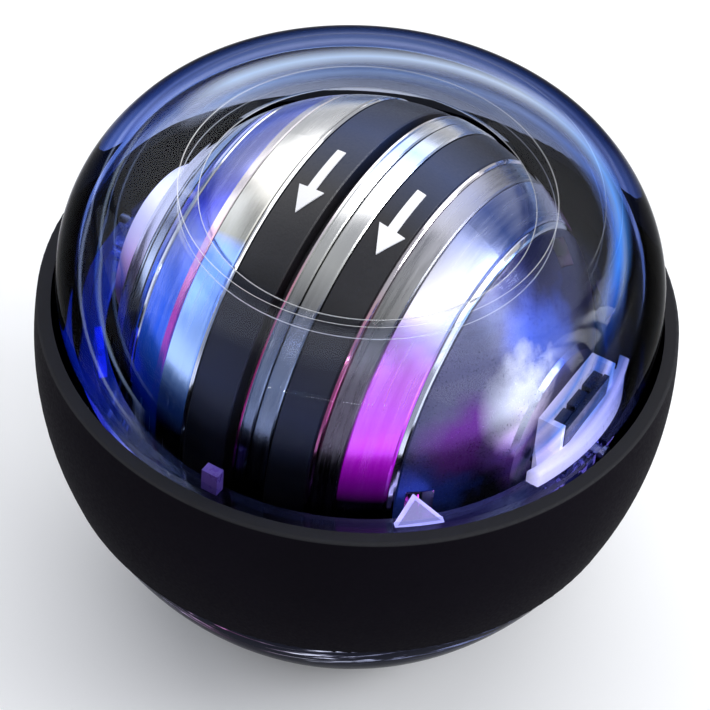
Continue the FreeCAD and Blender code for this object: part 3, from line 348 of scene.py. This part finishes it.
def turned_metal(name, colour, roughness, lines=1400.0, line_depth=0.000006, smear=0.05, stops=None,
                 stripes=(), glow=None):
    """Metal turned on a lathe: fine lines round the axle, and faint smears along them. stops
    are its colours round the axle, painted reflections and painted lamp light, stripes are (from,
    to, stops) of the same along the axle, and glow is painted lamp light on it, round the axle."""
    m = Mat(name, Metallic=1.0, Roughness=roughness)
    x, turn, radius = m.around_axle()
    along = m.vec(x, m.times(turn, 0.0012), m.times(radius, 0.6))
    scratch = m.noise(along, lines, 4.0, 0.65)
    cloud = m.noise(m.vec(x, m.times(turn, 0.02), radius), 160.0, 3.0, 0.5)
    uneven = m.remap(cloud, 0.3, 0.7, roughness * 0.9, roughness * 1.1)
    rough = m.math("ADD", m.remap(scratch, 0.3, 0.7, -smear, smear), uneven)
    m.link(m.math("MAXIMUM", rough, 0.02), m.bsdf.inputs["Roughness"])
    if stops is None:
        tint = m.mix(cloud, colour, tuple(c * 0.88 for c in colour))
    else:
        # Painted reflections and painted lamp light round the axle
        tint = m.sweep(turn, stops)
        tint = m.mix(m.remap(scratch, 0.35, 0.65, 0.0, 0.12), tint, colour)
    # Stripes of painted reflection along the axle
    for start, end, stripe_stops in stripes:
        inside = m.band(x, start, end, 0.00003)
        tint = m.mix(inside, tint, m.sweep(turn, stripe_stops))
    m.link(tint, m.bsdf.inputs["Base Color"])
    # Painted lamp light, given off by the metal
    if glow is not None:
        m.link(m.sweep(turn, glow), m.bsdf.inputs["Emission Color"])
        m.set("Emission Strength", 1.0)
    m.bump(scratch, line_depth, 0.6)
    return m.mat


def satin_metal(name, colour, painted_reflections, roughness=0.3):
    """Fine blasted metal paint with a soft sparkle, and patches of other colours, painted reflections
    that melt into each other and give off a faint painted glow. Each patch is (centre, reach,
    colour), with x measured from the middle plane."""
    m = Mat(name, Metallic=0.85, Roughness=roughness)
    place = m.coords()
    x, y, z = m.xyz(place)[:3]
    speck = m.noise(place, 5200.0, 2.0, 0.7)
    drift = m.times(m.math("SUBTRACT", m.noise(place, 210.0, 3.0, 0.6), 0.5), 0.006)
    here = m.vec(m.math("ABSOLUTE", x), m.math("ADD", y, drift), m.math("SUBTRACT", z, WAIST))
    tint = colour
    # Painted reflections: patches of colour
    for centre, reach, cloud in painted_reflections:
        away = m.node("ShaderNodeVectorMath", operation="DISTANCE")
        m.link(here, away.inputs[0])
        away.inputs[1].default_value = centre
        far = m.math("ADD", away.outputs["Value"], drift)
        tint = m.mix(m.remap(far, reach * 0.35, reach, 1.0, 0.0), tint, cloud)
    tint = m.mix(m.remap(speck, 0.4, 0.75, 0.0, 0.05), tint, (0.8, 0.8, 0.95))
    m.link(tint, m.bsdf.inputs["Base Color"])
    # Painted glow in the cap's own colours
    m.link(tint, m.bsdf.inputs["Emission Color"])
    m.set("Emission Strength", 0.10)
    m.link(m.remap(speck, 0.3, 0.7, roughness - 0.05, roughness + 0.07), m.bsdf.inputs["Roughness"])
    m.bump(speck, 0.000005, 0.5)
    return m.mat


def moulded(name, colour, shade, roughness, glow=0.0, glow_from=None):
    """Moulded plastic with a fine grain. glow is painted lamp light, for milky plastic that the lamps
    light up, and glow_from is (x, x, glow), where the painted glow grows between two places along
    the axle."""
    m = Mat(name, Roughness=roughness)
    # Painted lamp glow, given off in the plastic's own colour
    m.set("Emission Color", colour)
    m.set("Emission Strength", glow)
    place = m.coords()
    if glow_from is not None:
        start, end, most = glow_from
        m.link(m.remap(m.xyz(place)[0], start, end, glow, most), m.bsdf.inputs["Emission Strength"])
    fine = m.noise(place, 1500.0, 3.0, 0.55)
    cloud = m.noise(place, 140.0, 3.0, 0.5)
    m.link(m.mix(m.remap(cloud, 0.3, 0.7, 0.0, 1.0), colour, shade), m.bsdf.inputs["Base Color"])
    m.link(m.remap(fine, 0.3, 0.7, roughness - 0.07, roughness + 0.1), m.bsdf.inputs["Roughness"])
    m.bump(fine, 0.00001, 0.5)
    return m.mat


def plain_metal(name, colour, roughness):
    m = Mat(name, Metallic=1.0, Roughness=roughness)
    place = m.coords()
    cloud = m.noise(place, 900.0, 4.0, 0.6)
    dull = tuple(c * 0.72 for c in colour)
    m.link(m.mix(m.remap(cloud, 0.3, 0.7, 0.0, 1.0), colour, dull), m.bsdf.inputs["Base Color"])
    m.link(m.remap(cloud, 0.3, 0.7, roughness * 0.7, roughness * 1.35), m.bsdf.inputs["Roughness"])
    m.bump(cloud, 0.00001, 0.4)
    return m.mat


def lamp(name, colour, strength):
    """A lit lens, with a faint mottle of paler light."""
    m = Mat(name, Roughness=0.2)
    m.set("Base Color", colour)
    glow = m.noise(m.coords(), 700.0, 1.0)
    glow = m.mix(m.remap(glow, 0.4, 0.6, 0.0, 0.5), colour, (1.0, 0.9, 1.0))
    m.link(glow, m.bsdf.inputs["Emission Color"])
    m.set("Emission Strength", strength)
    return m.mat


def screen(*stops):
    """Stops of a ramp, each a place and a colour as a screen shows it."""
    return [(place, srgb(*colour)) for place, *colour in stops]


SILVER = (0.86, 0.87, 0.9)
DARK = (0.0, 0.0, 0.0)
# The painted highlight colour for the grip's top
TOP_PAINTED_HIGHLIGHT = (0.028, 0.028, 0.031)
# The dome's tint from face on (0) to edge on (1), above and below where its flank turns over.
# It deepens edge on partly as thick plastic does and partly as painted shade, and the pale stops
# in RIM are painted highlight arcs
RIM = [(0.0, (1.0, 1.0, 1.0)), (0.26, (0.95, 0.97, 1.0)), (0.33, (0.30, 0.38, 0.56)),
       (0.36, (0.05, 0.22, 0.70)), (0.395, (0.75, 0.90, 1.0)), (0.43, (0.06, 0.24, 0.75)),
       (0.49, (0.07, 0.12, 0.32)), (0.53, (0.40, 0.48, 0.75)), (0.57, (0.05, 0.10, 0.28)),
       (0.64, (0.08, 0.12, 0.28)), (0.70, (0.010, 0.028, 0.12)), (0.80, (0.003, 0.009, 0.045)),
       (1.0, (0.008, 0.02, 0.09))]
LOW_RIM = [(0.0, (1.0, 1.0, 1.0)), (0.45, (0.78, 0.83, 0.95)), (0.70, (0.45, 0.52, 0.75)),
           (0.84, (0.08, 0.13, 0.34)), (1.0, (0.02, 0.04, 0.14))]
# Painted shade for the dome's rear
REAR_PAINTED_SHADE = (0.46, 0.47, 0.50)
DOME_ABSORBS = (60.0, 48.0, 12.0)
CROWN_GLOSS = 0.2
# Where the dome's look changes: heights, a distance from its middle, and from front to rear
FLANK_TO_CROWN = (WAIST + 0.0085, WAIST + 0.0125)
GLOSSY_CROWN = (WAIST + 0.0135, WAIST + 0.0185)
CROWN_TO_WALL = (CROWN_RADIUS - 0.0011, CROWN_RADIUS + 0.0029)
FRONT_TO_REAR = (-0.004, 0.016)
# The painted highlight lines at the front left: from and to, as how far the wall is turned away
# from the viewer, softness and strength, and where they fade
FINE_LINES = [(0.530, 0.545, 0.012, 0.40), (0.400, 0.410, 0.010, 0.30)]
LINE_BLUE = (0.50, 0.62, 0.95)
LINES_IN_X, LINES_IN_Y = (-0.012, -0.006), (-0.010, -0.002)
# Painted highlight rings on the polished lip and crown: radius, width, strength and whether it
# shows at the rear only
PAINTED_HIGHLIGHT_RINGS = [(OPENING_RADIUS + 0.00002, 0.00007, 0.6, False), (RIM_RADIUS, 0.00009, 0.6, False),
                  (CROWN_RADIUS + 0.0012, 0.00008, 0.5, True),
                  (CROWN_RADIUS + 0.0030, 0.00008, 0.4, True)]
RINGS_IN_Y = (0.0, 0.016)
# A painted highlight line on the rear, where the wall's inner edge would throw one, off the
# ball's centre
CRESCENT_X, CRESCENT_Y, CRESCENT_RADIUS, CRESCENT_WIDTH = 0.0029, -0.0031, 0.0247, 0.0014
CRESCENT_IN_X, CRESCENT_IN_Y, CRESCENT_STRENGTH = (-0.02, 0.03), (-0.002, 0.006), 0.7
CRESCENT_BLUE = screen((0.0, 190, 215, 245), (0.5, 205, 222, 248), (0.8, 95, 155, 240),
                       (1.0, 35, 112, 215))
# Painted highlight streaks in the dark base, and their hues round it
STREAKS = [(0.0, DARK), (0.54, DARK), (0.60, (0.10, 0.10, 0.12)), (0.66, (0.75, 0.78, 0.85)),
           (0.74, DARK)]
STREAK_HUES = screen((0.0, 120, 150, 235), (0.42, 230, 235, 255), (0.56, 225, 130, 200),
                     (0.66, 235, 235, 250), (1.0, 130, 150, 230))
# Painted lamp glow in the clear plastic of the ring, from left to right
RING_LIGHT = screen((0.0, 0, 66, 190), (0.18, 5, 30, 150), (0.32, 0, 0, 0), (0.62, 0, 0, 0),
                    (0.8, 40, 34, 54), (1.0, 34, 36, 80))
GUSSET_LIGHT = screen((0.0, 40, 60, 210), (0.3, 40, 40, 150), (0.6, 190, 180, 235),
                      (1.0, 205, 195, 235))
# Painted reflections and painted lamp light round the axle, in degrees from the top
LAVENDER_BLUE = screen((-8, 150, 158, 246), (12, 170, 176, 250), (27, 95, 100, 240),
                       (36, 150, 152, 205), (48, 70, 110, 220), (64, 18, 76, 196),
                       (78, 10, 44, 125), (94, 5, 10, 36), (172, 20, 40, 120))
PINK_LINE = screen((-8, 245, 240, 245), (28, 245, 235, 240), (38, 255, 185, 205),
                   (56, 205, 55, 135), (80, 130, 20, 110), (94, 30, 5, 30), (172, 90, 10, 80))
ICE_BLUE = screen((-8, 240, 240, 240), (22, 205, 203, 196), (33, 160, 160, 152),
                  (36, 135, 170, 250), (50, 150, 190, 255), (68, 200, 225, 255), (75, 60, 90, 130),
                  (84, 10, 20, 40), (172, 60, 80, 130))
STEEL_GREY = screen((-8, 165, 190, 240), (6, 235, 235, 238), (30, 225, 225, 220),
                    (40, 150, 150, 150), (60, 150, 165, 195), (76, 80, 90, 120), (90, 12, 12, 20),
                    (172, 80, 80, 100))
LILAC_GREY = screen((-8, 150, 155, 185), (8, 160, 160, 170), (22, 165, 165, 168),
                    (38, 120, 120, 118), (60, 130, 118, 130), (75, 70, 60, 72), (90, 12, 9, 15),
                    (172, 80, 70, 90))
MAGENTA = screen((-8, 70, 95, 170), (6, 150, 160, 205), (18, 205, 206, 222), (28, 236, 234, 250),
                 (36, 190, 160, 215), (46, 225, 135, 245), (60, 222, 100, 244), (72, 190, 40, 205),
                 (79, 120, 8, 130), (86, 20, 2, 26), (172, 120, 20, 140))
BLUE_SHEEN = screen((-8, 18, 44, 92), (4, 18, 34, 66), (14, 36, 36, 40), (34, 38, 38, 42),
                    (40, 14, 15, 19), (54, 16, 22, 44), (66, 8, 26, 66), (80, 4, 6, 14),
                    (172, 9, 10, 14))
MAGENTA_GLOW = screen((-8, 0, 0, 0), (36, 0, 0, 0), (46, 150, 80, 170), (60, 175, 70, 205),
                      (71, 160, 15, 180), (78, 110, 5, 125), (86, 0, 0, 0), (172, 0, 0, 0))
BLUE_GLOW = screen((-8, 0, 0, 0), (30, 0, 0, 0), (48, 20, 50, 120), (66, 5, 60, 150),
                   (82, 0, 20, 80), (96, 0, 0, 0), (172, 0, 0, 0))
ICE_GLOW = screen((-8, 0, 0, 0), (34, 0, 0, 0), (48, 70, 100, 160), (66, 90, 120, 170),
                  (76, 20, 40, 80), (86, 0, 0, 0), (172, 0, 0, 0))
# The drum's own lilac, purple and darker lower down with painted lamp light and painted shade
DRUM_LILAC = screen((-8, 228, 230, 248), (30, 232, 230, 248), (50, 222, 208, 238),
                    (70, 205, 165, 220), (90, 130, 85, 160), (172, 190, 190, 225))
# Painted reflections on the left cap's steps
COVER_STEP = screen((-8, 230, 235, 250), (26, 200, 205, 230), (36, 90, 100, 130),
                    (50, 225, 235, 250), (66, 120, 140, 180), (78, 20, 24, 50),
                    (172, 120, 125, 150))
DRUM_GLOW = screen((-8, 175, 178, 200), (40, 175, 168, 200), (66, 160, 125, 175), (90, 50, 10, 80),
                   (172, 0, 0, 0))
# Painted shade in the gaps between the left cap's steps
BLACK_LINE = screen((-8, 0, 0, 0), (172, 0, 0, 0))
# The painted reflections on the right cap, soft patches of colour: centre, reach and colour
CAP_PAINTED_REFLECTIONS = [
    ((0.0175, -0.0080, 0.0175), 0.0095, srgb(105, 105, 125)),
    ((0.0228, -0.0009, 0.0125), 0.0070, srgb(70, 95, 190)),
    ((0.0200, -0.0125, 0.0110), 0.0090, srgb(120, 118, 150)),
    ((0.0211, -0.0140, 0.0068), 0.0062, srgb(120, 50, 150)),
    ((0.0245, -0.0076, 0.0038), 0.0055, srgb(170, 100, 200)),
    ((0.0239, -0.0062, 0.0086), 0.0062, srgb(250, 248, 252)),
    ((0.0220, -0.0135, -0.0010), 0.0065, srgb(8, 8, 20)),
    ((0.0180, -0.0180, 0.0010), 0.0060, srgb(50, 80, 170)),
]
CLEAR_SHELL = dome_plastic("clear_shell")
# Each material and the nodes that have it
LOOKS = [
    (CLEAR_SHELL, "upper_shell"),
    (dark_base("clear_base"), "lower_shell"),
    (clear_plastic("clear_ring", (0.9, 0.9, 0.98), (300.0, 300.0, 120.0), 0.05, RING_LIGHT),
     "gimbal_ring"),
    (clear_plastic("gusset", (0.95, 0.94, 1.0), (120.0, 140.0, 60.0), 0.05, GUSSET_LIGHT),
     "ring_gussets"),
    (clear_plastic("window", (0.96, 0.9, 1.0), (300.0, 600.0, 260.0), 0.08),
     "left_lamp_windows", "right_lamp_windows"),
    # The grip's paler top is a painted highlight
    (rubber("grip", (0.0034, 0.0029, 0.0045), (0.0050, 0.0041, 0.0070), specular=0.01,
            painted_highlight_above=WAIST + 0.0046), "grip_band"),
    (rubber("tread", (0.014, 0.013, 0.017), (0.03, 0.028, 0.036), 3600.0, 0.00004, 0.4, 0.4,
            BLUE_SHEEN), "left_tread", "right_tread"),
    (turned_metal("ice_chrome", SILVER, 0.24, stops=ICE_BLUE, glow=ICE_GLOW), "left_chrome_band"),
    (turned_metal("chrome", SILVER, 0.22, stops=STEEL_GREY, stripes=[(0.00055, 0.00095, PINK_LINE)]),
     "centre_left_band", "centre_right_band"),
    (turned_metal("cover_chrome", (0.8, 0.84, 0.88), 0.12), "starter_cover"),
    (turned_metal("bright", (0.95, 0.95, 0.97), 0.12),
     "left_wire_ring", "left_trim_ring", "right_trim_ring"),
    # Its pink is painted reflection and painted lamp light
    (turned_metal("pink_wire", (0.95, 0.95, 0.97), 0.12, stops=PINK_LINE), "right_wire_ring"),
    (turned_metal("brushed", (0.62, 0.61, 0.64), 0.3, 2200.0, 0.00001, 0.08, stops=LILAC_GREY),
     "right_chrome_band"),
    (turned_metal("left_polished", SILVER, 0.24, stops=LAVENDER_BLUE, glow=BLUE_GLOW, stripes=[
        (-0.0112, -0.0100, PINK_LINE)]), "left_polished_band"),
    (turned_metal("left_cap", SILVER, 0.22, stops=COVER_STEP, stripes=[
        (-0.0166, -0.0158, LAVENDER_BLUE), (-0.0169, -0.0166, BLACK_LINE),
        (-0.0184, -0.0181, BLACK_LINE), (-0.0189, -0.0187, BLACK_LINE),
        (-0.0230, -0.0189, DRUM_LILAC)]), "left_end_cap"),
    (turned_metal("drum", srgb(225, 222, 244), 0.5, stops=DRUM_LILAC, glow=DRUM_GLOW), "starter_drum"),
    (turned_metal("right_polished", SILVER, 0.24, stops=MAGENTA, glow=MAGENTA_GLOW),
     "right_polished_band"),
    (satin_metal("cap", srgb(40, 42, 90), CAP_PAINTED_REFLECTIONS), "right_end_cap"),
    (moulded("bracket", srgb(228, 212, 230), srgb(214, 196, 222), 0.3, glow=0.55,
             glow_from=(0.0268, 0.0282, 1.6)), "generator_bracket"),
    (moulded("post", srgb(150, 110, 190), srgb(120, 80, 160), 0.3, glow=0.1), "ring_posts"),
    (moulded("black", (0.012, 0.012, 0.015), (0.022, 0.021, 0.026), 0.4), "rotor_hub", "coil_former"),
    (moulded("white", (0.9, 0.9, 0.92), (0.84, 0.84, 0.88), 0.5), "left_arrows", "right_arrows"),
    (plain_metal("steel", (0.6, 0.6, 0.64), 0.28), "axle", "left_lug_screws", "right_lug_screws",
     "pawl_pins", "clutch_pawl_1", "clutch_pawl_2"),
    (plain_metal("dark_steel", (0.10, 0.10, 0.13), 0.3), "mainspring", "winding_arbor",
     "generator_magnets", "magnet_yoke"),
    (plain_metal("zinc", (0.45, 0.45, 0.47), 0.5), "left_weight", "right_weight"),
    (plain_metal("brass", (0.76, 0.6, 0.33), 0.3), "left_axle_bush", "right_axle_bush"),
    (turned_metal("copper", (0.72, 0.38, 0.2), 0.3, 5200.0, 0.00003), "coil"),
    (moulded("board", (0.02, 0.12, 0.06), (0.03, 0.16, 0.08), 0.35),
     "left_lamp_board", "right_lamp_board"),
    (lamp("lamp_blue", (0.05, 0.15, 1.0), 60.0), "left_lamps"),
    (lamp("lamp_magenta", (1.0, 0.08, 0.7), 60.0), "right_lamps"),
]


# The dome, turned finer than a CAD mesh is, so that no facet shows in its gloss and its tint
def arc(centre, radius, start, end, steps):
    """Points on an arc of a profile, with its angles in radians up from the outward direction."""
    turns = [start + (end - start) * step / steps for step in range(steps + 1)]
    return [(centre[0] + radius * math.cos(a), centre[1] + radius * math.sin(a)) for a in turns]


def between(start, end, radius, steps):
    """Points on an arc from one place to another, bulging up and out."""
    a, b = Vector(start), Vector(end)
    half = (b - a) / 2
    side = Vector((half.y, -half.x)).normalized() * math.sqrt(radius ** 2 - half.length ** 2)
    centre = a + half - side if side.y > 0 else a + half + side
    first, last = (math.atan2(*reversed(p - centre)) for p in (a, b))
    return arc(centre, radius, first, last, steps)


def lathe(name, runs, turns=300):
    """A closed profile turned round the upright axis through the waist. Each run of the profile
    is smooth, and the edge where it meets the next one is sharp."""
    profile, corners = [], set()
    for run in runs:
        for place in run:
            if not profile or (Vector(place) - Vector(profile[-1])).length > 1e-7:
                profile.append(place)
        corners.add(len(profile) - 1)
    corners.add(0)
    count = len(profile)
    verts = []
    for turn in range(turns):
        a = 2 * math.pi * turn / turns
        verts += [(r * math.cos(a), r * math.sin(a), h + WAIST) for r, h in profile]
    faces = []
    for turn in range(turns):
        here, there = turn * count, (turn + 1) % turns * count
        for at in range(count):
            after = (at + 1) % count
            faces.append((here + at, there + at, there + after, here + after))
    mesh = bpy.data.meshes.new(name)
    mesh.from_pydata(verts, [], faces)
    mesh.shade_smooth()
    for edge in mesh.edges:
        a, b = (v % count for v in edge.vertices)
        edge.use_edge_sharp = a == b and a in corners
    work = bmesh.new()
    work.from_mesh(mesh)
    bmesh.ops.recalc_face_normals(work, faces=work.faces)
    work.to_mesh(mesh)
    work.free()
    made = bpy.data.objects.new(name, mesh)
    bpy.context.scene.collection.objects.link(made)
    return made


def clear_dome():
    flank_middle = Vector((DOME_RADIUS - DOME_FLANK, DOME_HEIGHT))
    crown_middle = Vector((CROWN_RADIUS, CROWN_HEIGHT - CROWN_CURVE))
    meet = math.atan2(*reversed(crown_middle - flank_middle))
    inside = arc(flank_middle, DOME_FLANK - DOME_WALL, 0.0, meet, 24)
    inside += arc(crown_middle, CROWN_CURVE - DOME_WALL, meet, math.pi / 2, 24)
    outside = arc(crown_middle, CROWN_CURVE, math.pi / 2, meet, 30)
    foot = math.asin((SHOULDER - DOME_HEIGHT) / DOME_FLANK)
    outside += arc(flank_middle, DOME_FLANK, meet, foot, 34)
    lip_top = (OPENING_RADIUS, LIP_HEIGHT)
    lip_under = (OPENING_RADIUS + LIP_EDGE, LIP_HEIGHT - LIP_THICKNESS)
    rim = (RIM_RADIUS, RIM_HEIGHT)
    runs = [
        [(RACE_RADIUS, 0.0), (RACE_RADIUS, RACE_HALF)],
        [(RACE_RADIUS, RACE_HALF), (LEDGE_RADIUS, RACE_HALF)],
        [(LEDGE_RADIUS, RACE_HALF), (LEDGE_RADIUS, LEDGE_TOP)],
        [(LEDGE_RADIUS, LEDGE_TOP), (DOME_RADIUS - DOME_WALL, LEDGE_TOP)],
        [(DOME_RADIUS - DOME_WALL, LEDGE_TOP)] + inside,
        [inside[-1], lip_under],
        [lip_under, lip_top],
        [lip_top, rim],
        between(rim, outside[0], RIM_CURVE, 12),
        outside,
        [outside[-1], (SEAT_TOP, SHOULDER)],
        [(SEAT_TOP, SHOULDER), (SEAT_LOW, -LAP_DEPTH)],
        [(SEAT_LOW, -LAP_DEPTH), (SKIRT_RADIUS, -LAP_DEPTH)],
        [(SKIRT_RADIUS, -LAP_DEPTH), (SKIRT_RADIUS, 0.0)],
    ]
    made = lathe("clear_dome", runs)
    made.data.materials.append(CLEAR_SHELL)
    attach(made, "casing")
    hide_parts("upper_shell")


clear_dome()
for look, *names in LOOKS:
    for name in names:
        slots = NODES[name].data.materials
        slots.clear()
        slots.append(look)


# Stage and light
FLOOR_SIZE, FLOOR_DROP = 6.0, 0.0002


def plain_stage():
    bpy.ops.mesh.primitive_plane_add(size=FLOOR_SIZE, location=(0, 0, -FLOOR_DROP))
    floor = bpy.context.object
    floor.name = "floor"
    m = Mat("floor_white", Roughness=0.6)
    white = m.mix(m.noise(m.coords(), 3.0), (0.955, 0.955, 0.96), (0.965, 0.965, 0.97))
    m.link(white, m.bsdf.inputs["Base Color"])
    floor.data.materials.append(m.mat)


def softbox(name, azimuth, elevation, distance, size, brightness, colour=(1, 1, 1)):
    """A rectangular light that faces the ball. Azimuth 0 is in front, along -Y, and 90 is on the
    right. brightness is how its own surface looks, where 1 is a white page."""
    a, e = math.radians(azimuth), math.radians(elevation)
    away = Vector((math.sin(a) * math.cos(e), -math.cos(a) * math.cos(e), math.sin(e)))
    data = bpy.data.lights.new(name, "AREA")
    data.shape = "RECTANGLE"
    data.size, data.size_y = size
    data.energy = brightness * math.pi * size[0] * size[1]
    data.color = colour
    made = bpy.data.objects.new(name, data)
    made.location = Vector((0, 0, WAIST)) + away * distance
    made.rotation_euler = away.to_track_quat("Z", "Y").to_euler()
    bpy.context.scene.collection.objects.link(made)


plain_stage()
softbox("back_softbox", -150, 50, 0.75, (1.20, 0.80), 1.5)
softbox("right_softbox", 98, 42, 0.70, (0.85, 0.36), 1.5)
for pane in range(3):
    softbox(f"right_pane_{pane}", 111 + 10 * pane, 20, 0.70, (0.08, 0.34), 10.0, (0.95, 0.97, 1.0))
softbox("left_softbox", -78, 20, 0.70, (0.50, 0.36), 1.5, (0.85, 0.9, 1.0))
softbox("front_strip", 20, 34, 0.60, (0.45, 0.008), 50.0)

world = bpy.data.worlds.new("World")
bpy.context.scene.world = world
world.use_nodes = True
background = world.node_tree.nodes["Background"]
background.inputs["Color"].default_value = (0.9, 0.93, 1.0, 1)
background.inputs["Strength"].default_value = 0.48

view = bpy.context.scene.view_settings
view.view_transform = "Standard"
